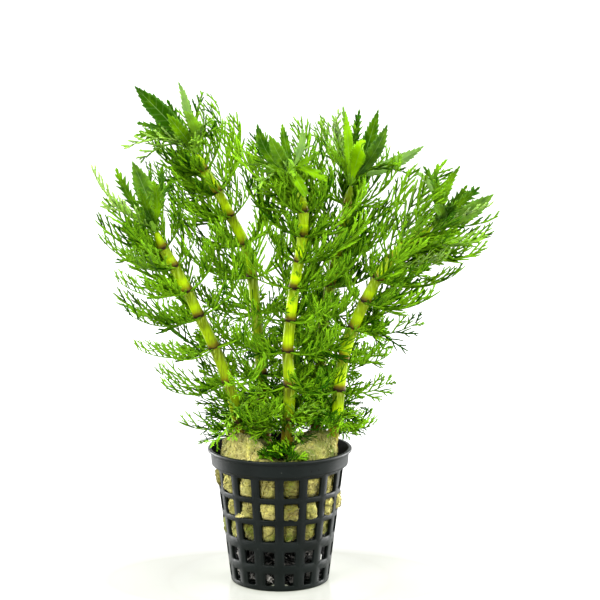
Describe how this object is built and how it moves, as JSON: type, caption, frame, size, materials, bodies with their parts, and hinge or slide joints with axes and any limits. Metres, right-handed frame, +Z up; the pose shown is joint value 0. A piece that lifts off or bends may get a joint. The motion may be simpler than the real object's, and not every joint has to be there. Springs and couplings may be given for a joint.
{
  "type": "potted indian marshweed",
  "caption": "Bushy aquarium stem plant with whorls of finely cut leaves and broad young shoots, rooted in mineral wool in a round net pot.",
  "frame": {"origin": "centre of the underside of the net pot's floor, where it rests", "axes": "+Z up through the pot and the plant; -Y is the front, where a bar between two columns of windows is centred; +X is to the right seen from the front"},
  "size_m": [0.1481, 0.0793, 0.1878],
  "materials": {
    "pot_plastic": "black moulded polypropylene, satin, with faint mould marks",
    "wool_fibre": "damp cream mineral wool, matt and fibrous",
    "stem_skin": "smooth yellow-green stem with brown nodes, slight wet sheen",
    "cut_leaf": "finely cut soft green leaf, satin",
    "shoot_leaf": "broad toothed young leaf with a pale midrib, satin"
  },
  "bodies": {
    "root": {"back_left_crown": "shoot_leaf", "back_left_whorl_1": "cut_leaf", "back_left_whorl_2": "cut_leaf", "back_left_whorl_3": "cut_leaf", "back_left_whorl_4": "cut_leaf", "back_left_whorl_5": "cut_leaf", "back_left_whorl_6": "cut_leaf", "back_left_whorl_7": "cut_leaf", "back_left_whorl_8": "cut_leaf", "back_left_whorl_9": "cut_leaf", "back_right_crown": "shoot_leaf", "back_right_whorl_1": "cut_leaf", "back_right_whorl_2": "cut_leaf", "back_right_whorl_3": "cut_leaf", "back_right_whorl_4": "cut_leaf", "back_right_whorl_5": "cut_leaf", "back_right_whorl_6": "cut_leaf", "back_right_whorl_7": "cut_leaf", "back_right_whorl_8": "cut_leaf", "centre_crown": "shoot_leaf", "centre_whorl_1": "cut_leaf", "centre_whorl_2": "cut_leaf", "centre_whorl_3": "cut_leaf", "centre_whorl_4": "cut_leaf", "centre_whorl_5": "cut_leaf", "centre_whorl_6": "cut_leaf", "centre_whorl_7": "cut_leaf", "centre_whorl_8": "cut_leaf", "centre_whorl_9": "cut_leaf", "left_crown": "shoot_leaf", "left_whorl_1": "cut_leaf", "left_whorl_2": "cut_leaf", "left_whorl_3": "cut_leaf", "left_whorl_4": "cut_leaf", "left_whorl_5": "cut_leaf", "left_whorl_6": "cut_leaf", "left_whorl_7": "cut_leaf", "net_pot": "pot_plastic", "right_crown": "shoot_leaf", "right_whorl_1": "cut_leaf", "right_whorl_2": "cut_leaf", "right_whorl_3": "cut_leaf", "right_whorl_4": "cut_leaf", "right_whorl_5": "cut_leaf", "right_whorl_6": "cut_leaf", "right_whorl_7": "cut_leaf", "right_whorl_8": "cut_leaf", "right_whorl_9": "cut_leaf", "rockwool": "wool_fibre", "stem_back_left": "stem_skin", "stem_back_right": "stem_skin", "stem_centre": "stem_skin", "stem_left": "stem_skin", "stem_right": "stem_skin"}
  },
  "joints": []
}
